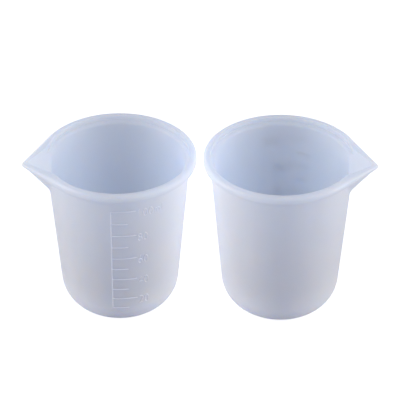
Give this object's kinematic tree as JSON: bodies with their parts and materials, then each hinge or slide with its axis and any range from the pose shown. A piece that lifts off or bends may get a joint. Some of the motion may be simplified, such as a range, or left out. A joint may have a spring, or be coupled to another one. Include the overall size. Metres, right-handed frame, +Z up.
{
  "type": "measuring cup set",
  "caption": "Flexible translucent resin mixing and pouring cups with thickened rims, vee pouring spouts and raised millilitre scales, standing side by side.",
  "frame": {"origin": "centre of the pair's footprint, on the plane that the bases stand on", "axes": "+Z up along both cup axes, +X from the left cup to the right cup, -Y towards the front, where the left cup shows its scale"},
  "size_m": [0.1396, 0.0632, 0.0696],
  "materials": {
    "silicone": "soft satin, translucent milky white",
    "silicone_marks": "soft satin, translucent milky white"
  },
  "bodies": {
    "left": {"left_cup": "silicone", "left_scale": "silicone_marks"},
    "right": {"right_cup": "silicone", "right_scale": "silicone_marks"}
  },
  "joints": [
    {"name": "lift", "type": "slide", "parent": "left", "child": "right", "axis": [0, 0, 1], "range_m": [0, 0.09]}
  ]
}
